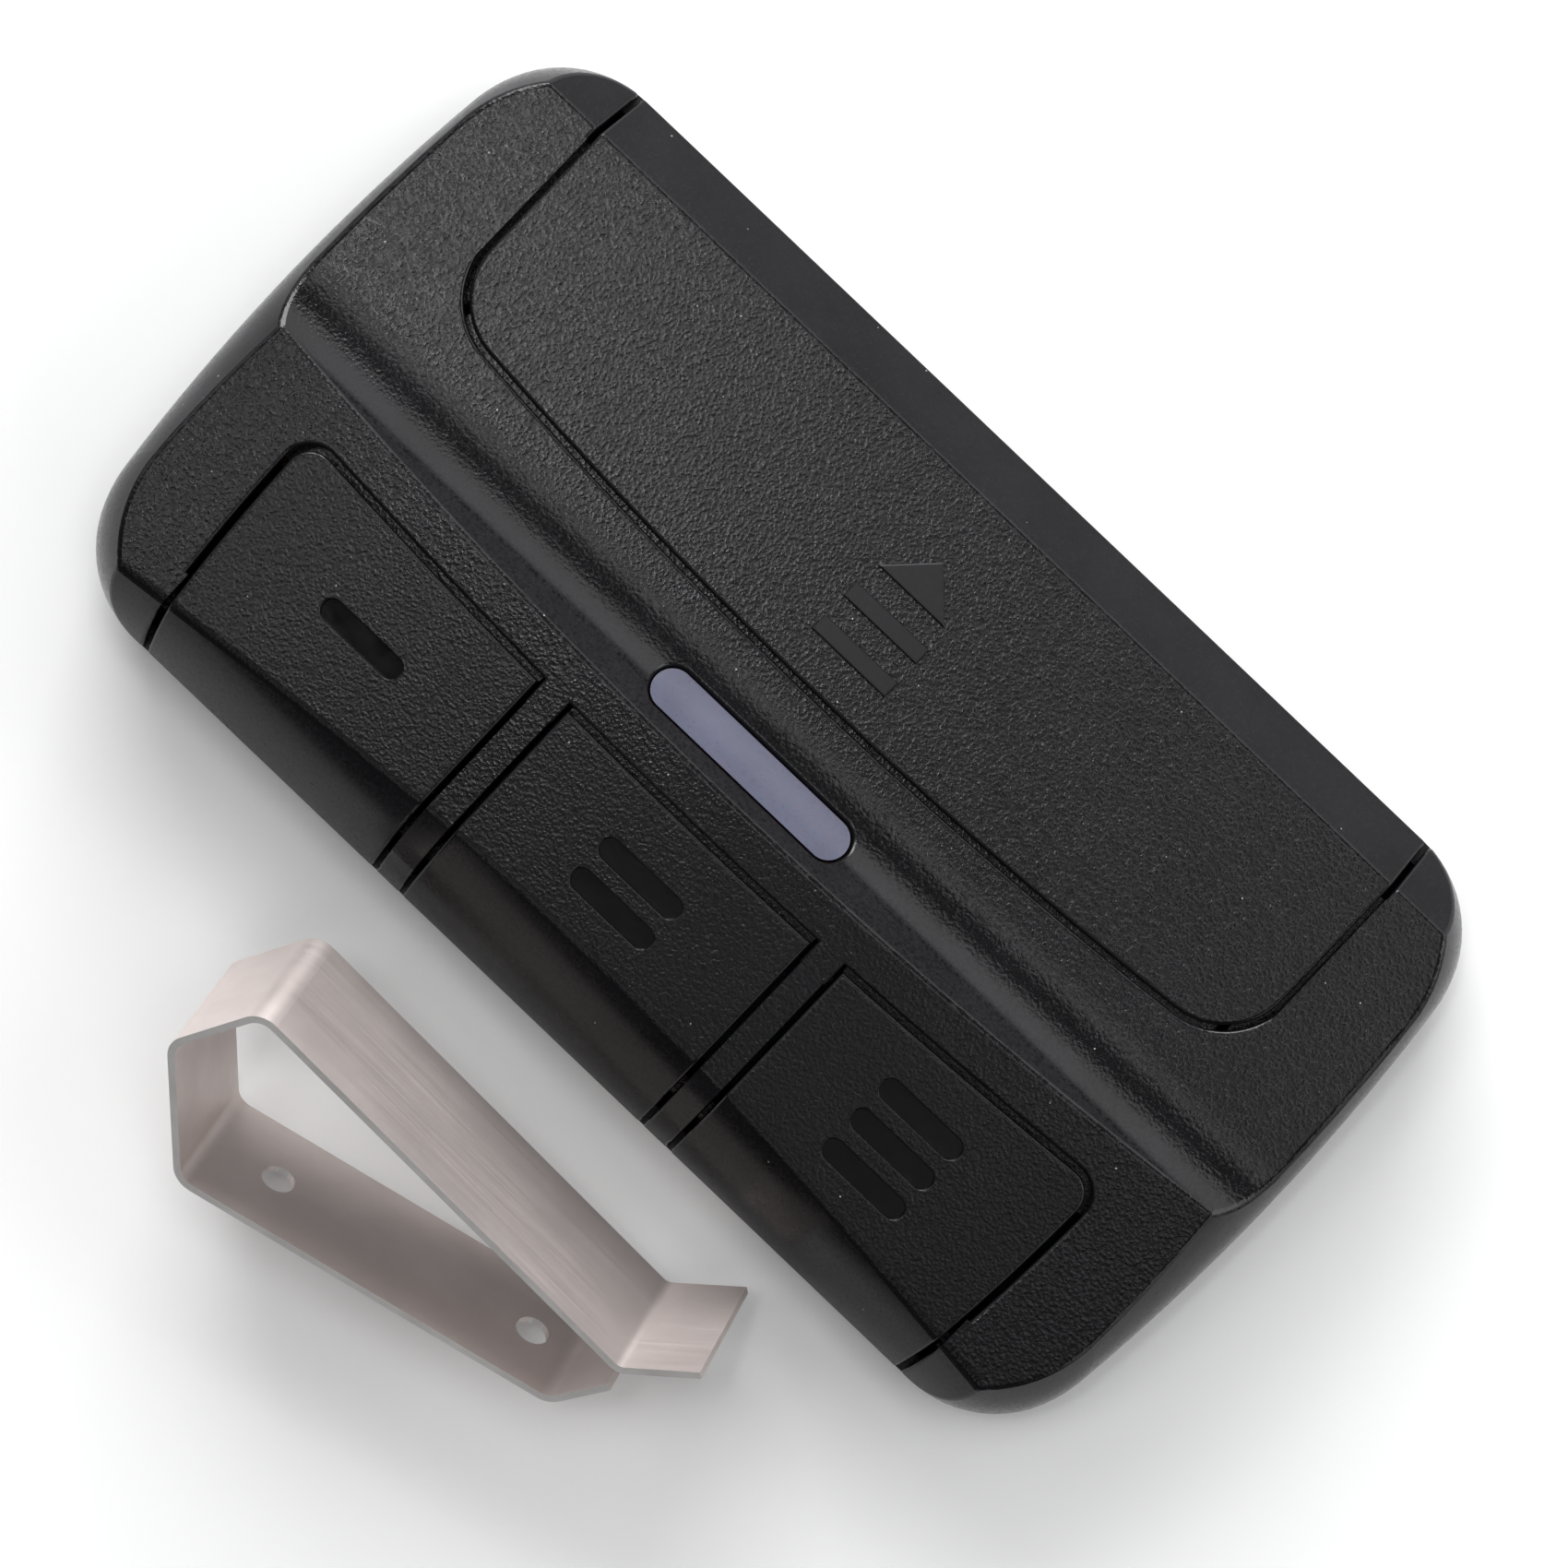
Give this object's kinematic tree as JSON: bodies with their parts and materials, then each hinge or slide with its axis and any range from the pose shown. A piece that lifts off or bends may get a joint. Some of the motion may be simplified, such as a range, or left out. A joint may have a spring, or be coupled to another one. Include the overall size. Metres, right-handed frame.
{
  "type": "garage door remote",
  "caption": "Garage door remote: a flat black plastic case with hinged keys, an indicator window, a slide-off battery cover and a loose spring-strip visor clip.",
  "frame": {"origin": "middle of the flat back, at the mouth of the seat for the visor clip", "axes": "+X along the case from the one-bar key to the three-bar key, +Y from the keys to the battery cover, +Z out of the face"},
  "size_m": [0.087, 0.0708, 0.0167],
  "materials": {
    "case_plastic": "black ABS, fine spark-eroded grain on the top faces",
    "key_plastic": "black ABS, finer grain, sunk bars smooth",
    "lens_plastic": "tinted acrylic, moulded satin",
    "led_package": "small white packages",
    "board_laminate": "glass-epoxy board with green solder mask",
    "copper": "tinned copper track",
    "chip_epoxy": "moulded epoxy",
    "crystal_can": "pressed nickel-plated can",
    "resistor_ceramic": "black alumina chips",
    "capacitor_ceramic": "brown ceramic chips",
    "switch_housing": "black nylon",
    "switch_plunger": "grey nylon",
    "holder_plastic": "black polyester",
    "contact_steel": "nickel-plated spring steel",
    "cell_can": "nickel-plated steel can",
    "screw_steel": "black zinc-plated steel",
    "spring_steel": "stainless spring strip, satin"
  },
  "bodies": {
    "case": {"front_cover": "case_plastic", "rear_cover": "case_plastic", "indicator_lens": "lens_plastic", "indicator_leds": "led_package", "main_board": "board_laminate", "antenna_trace": "copper", "controller_chip": "chip_epoxy", "radio_chip": "chip_epoxy", "radio_crystal": "crystal_can", "chip_resistors": "resistor_ceramic", "chip_capacitors": "capacitor_ceramic", "program_switch_body": "switch_housing", "battery_holder": "holder_plastic", "battery_contact_positive": "contact_steel", "battery_contact_negative": "contact_steel", "coin_cell": "cell_can", "case_screws": "screw_steel", "switch_body_1": "switch_housing", "switch_body_2": "switch_housing", "switch_body_3": "switch_housing"},
    "battery_cover": {"battery_cover": "case_plastic"},
    "key_1": {"key_1": "key_plastic"},
    "key_2": {"key_2": "key_plastic"},
    "key_3": {"key_3": "key_plastic"},
    "program_button": {"program_button": "switch_plunger"},
    "switch_plunger_1": {"switch_plunger_1": "switch_plunger"},
    "switch_plunger_2": {"switch_plunger_2": "switch_plunger"},
    "switch_plunger_3": {"switch_plunger_3": "switch_plunger"},
    "visor_clip": {"visor_clip": "spring_steel"}
  },
  "joints": [
    {"name": "key_1_press", "type": "hinge", "parent": "case", "child": "key_1", "pos_m": [-0.0232, -0.0202, 0.0056], "axis": [-1, 0, 0], "range_deg": [0, 2], "stiffness_Nm_per_rad": 0.35, "springref_deg": -0.23},
    {"name": "switch_1_travel", "type": "slide", "parent": "case", "child": "switch_plunger_1", "axis": [0, 0, -1], "range_m": [0, 0.00026]},
    {"name": "key_2_press", "type": "hinge", "parent": "case", "child": "key_2", "pos_m": [0, -0.0202, 0.0056], "axis": [-1, 0, 0], "range_deg": [0, 2], "stiffness_Nm_per_rad": 0.35, "springref_deg": -0.23},
    {"name": "switch_2_travel", "type": "slide", "parent": "case", "child": "switch_plunger_2", "axis": [0, 0, -1], "range_m": [0, 0.00026]},
    {"name": "key_3_press", "type": "hinge", "parent": "case", "child": "key_3", "pos_m": [0.0232, -0.0202, 0.0056], "axis": [-1, 0, 0], "range_deg": [0, 2], "stiffness_Nm_per_rad": 0.35, "springref_deg": -0.23},
    {"name": "switch_3_travel", "type": "slide", "parent": "case", "child": "switch_plunger_3", "axis": [0, 0, -1], "range_m": [0, 0.00026]},
    {"name": "program_button_press", "type": "slide", "parent": "case", "child": "program_button", "axis": [0, 0, -1], "range_m": [0, 0.00025], "stiffness_N_per_m": 6400},
    {"name": "battery_cover_slide", "type": "slide", "parent": "case", "child": "battery_cover", "axis": [0, 1, 0], "range_m": [0, 0.026]},
    {"name": "visor_clip_lift", "type": "slide", "parent": "case", "child": "visor_clip", "axis": [0, 0, 1], "range_m": [0, 0.03]}
  ],
  "couplings": [
    {"joint": "switch_1_travel", "follows": "key_1_press", "m_per_rad": 0.0072},
    {"joint": "switch_2_travel", "follows": "key_2_press", "m_per_rad": 0.0072},
    {"joint": "switch_3_travel", "follows": "key_3_press", "m_per_rad": 0.0072}
  ]
}
